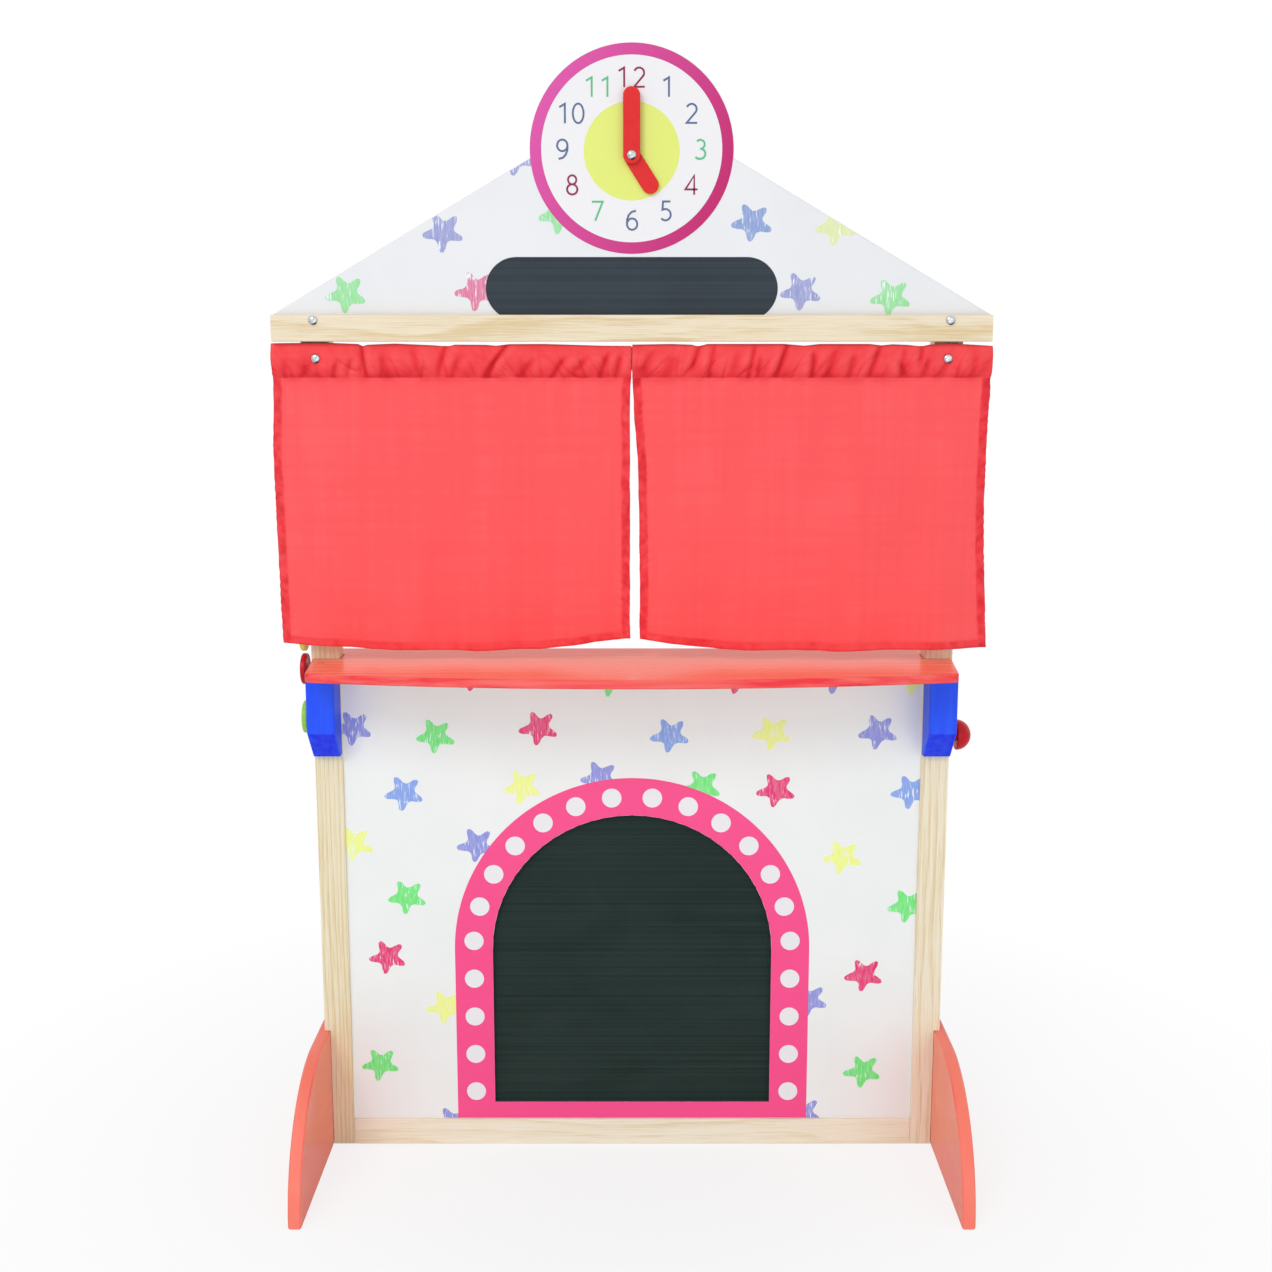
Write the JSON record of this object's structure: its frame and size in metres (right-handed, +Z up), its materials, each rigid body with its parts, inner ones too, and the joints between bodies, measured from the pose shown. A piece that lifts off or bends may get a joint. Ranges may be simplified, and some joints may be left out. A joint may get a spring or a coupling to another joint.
{
  "type": "puppet theater stand",
  "caption": "Free-standing wooden puppet theater with curtains, a bowed shelf, a gable with a turnable toy clock, and a printed front with a chalkboard arch.",
  "frame": {"origin": "on the floor, at the middle of the feet and half way between them", "axes": "+Z up; the audience side faces -Y; +X is to the audience's right"},
  "size_m": [0.751, 0.39, 1.2],
  "materials": {
    "pine": "sanded pine, clear varnish",
    "white_board": "board with a printed satin film",
    "chalkboard": "board with matt chalkboard paint",
    "red_lacquer": "gloss lacquer on wood",
    "blue_lacquer": "gloss lacquer on wood",
    "hand_red": "satin paint on thin wood",
    "red_cloth": "woven cotton, hemmed",
    "yellow_paint": "gloss paint on wood",
    "green_paint": "gloss paint on wood",
    "dark_red_paint": "gloss paint on wood",
    "steel": "zinc plated"
  },
  "bodies": {
    "stand": {"left_post": "pine", "left_foot": "red_lacquer", "left_foot_bolt_lower": "steel", "left_bracket_bolt_lower": "steel", "left_board_screw_lower": "steel", "left_foot_bolt_upper": "steel", "left_bracket_bolt_upper": "steel", "left_board_screw_upper": "steel", "left_top_rail_dowel": "pine", "left_shelf_bracket": "blue_lacquer", "left_shelf_screw": "steel", "left_curtain_pocket": "red_cloth", "left_gable_bolt": "steel", "left_gable_nut": "steel", "left_curtain_bolt": "steel", "left_curtain_nut": "steel", "right_post": "pine", "right_foot": "red_lacquer", "right_foot_bolt_lower": "steel", "right_bracket_bolt_lower": "steel", "right_board_screw_lower": "steel", "right_foot_bolt_upper": "steel", "right_bracket_bolt_upper": "steel", "right_board_screw_upper": "steel", "right_top_rail_dowel": "pine", "right_shelf_bracket": "blue_lacquer", "right_shelf_screw": "steel", "right_curtain_pocket": "red_cloth", "right_gable_bolt": "steel", "right_gable_nut": "steel", "right_curtain_bolt": "steel", "right_curtain_nut": "steel", "bottom_rail": "pine", "top_rail": "pine", "front_panel": "white_board", "chalkboard": "chalkboard", "shelf": "red_lacquer", "gable_board": "white_board", "gable_rail": "pine", "curtain_rail": "pine", "dial_washer": "steel", "hand_washer": "steel", "clock_bolt": "steel", "clock_nut": "steel", "side_knob": "dark_red_paint", "yellow_disc_spacer": "pine", "yellow_disc_axle": "steel", "red_disc_spacer": "pine", "red_disc_axle": "steel", "green_disc_spacer": "pine", "green_disc_axle": "steel"},
    "left_curtain": {"left_curtain_panel": "red_cloth"},
    "right_curtain": {"right_curtain_panel": "red_cloth"},
    "minute_hand": {"minute_hand": "hand_red"},
    "hour_hand": {"hour_hand": "hand_red"},
    "yellow_disc": {"yellow_disc": "yellow_paint"},
    "red_disc": {"red_disc": "dark_red_paint"},
    "green_disc": {"green_disc": "green_paint"}
  },
  "joints": [
    {"name": "left_curtain_swing", "type": "hinge", "parent": "stand", "child": "left_curtain", "pos_m": [-0.19, -0.019, 0.86595], "axis": [-1, 0, 0], "range_deg": [0, 70]},
    {"name": "right_curtain_swing", "type": "hinge", "parent": "stand", "child": "right_curtain", "pos_m": [0.19, -0.019, 0.86595], "axis": [-1, 0, 0], "range_deg": [0, 70]},
    {"name": "minute_hand_turn", "type": "hinge", "parent": "stand", "child": "minute_hand", "pos_m": [0, -0.028, 1.089], "axis": [0, 1, 0], "continuous": true},
    {"name": "hour_hand_turn", "type": "hinge", "parent": "stand", "child": "hour_hand", "pos_m": [0, -0.028, 1.089], "axis": [0, 1, 0], "continuous": true},
    {"name": "yellow_disc_spin", "type": "hinge", "parent": "stand", "child": "yellow_disc", "pos_m": [-0.3566, 0, 0.5885], "axis": [1, 0, 0], "continuous": true},
    {"name": "red_disc_spin", "type": "hinge", "parent": "stand", "child": "red_disc", "pos_m": [-0.3566, 0, 0.5515], "axis": [1, 0, 0], "continuous": true},
    {"name": "green_disc_spin", "type": "hinge", "parent": "stand", "child": "green_disc", "pos_m": [-0.3566, 0, 0.498], "axis": [1, 0, 0], "continuous": true}
  ]
}
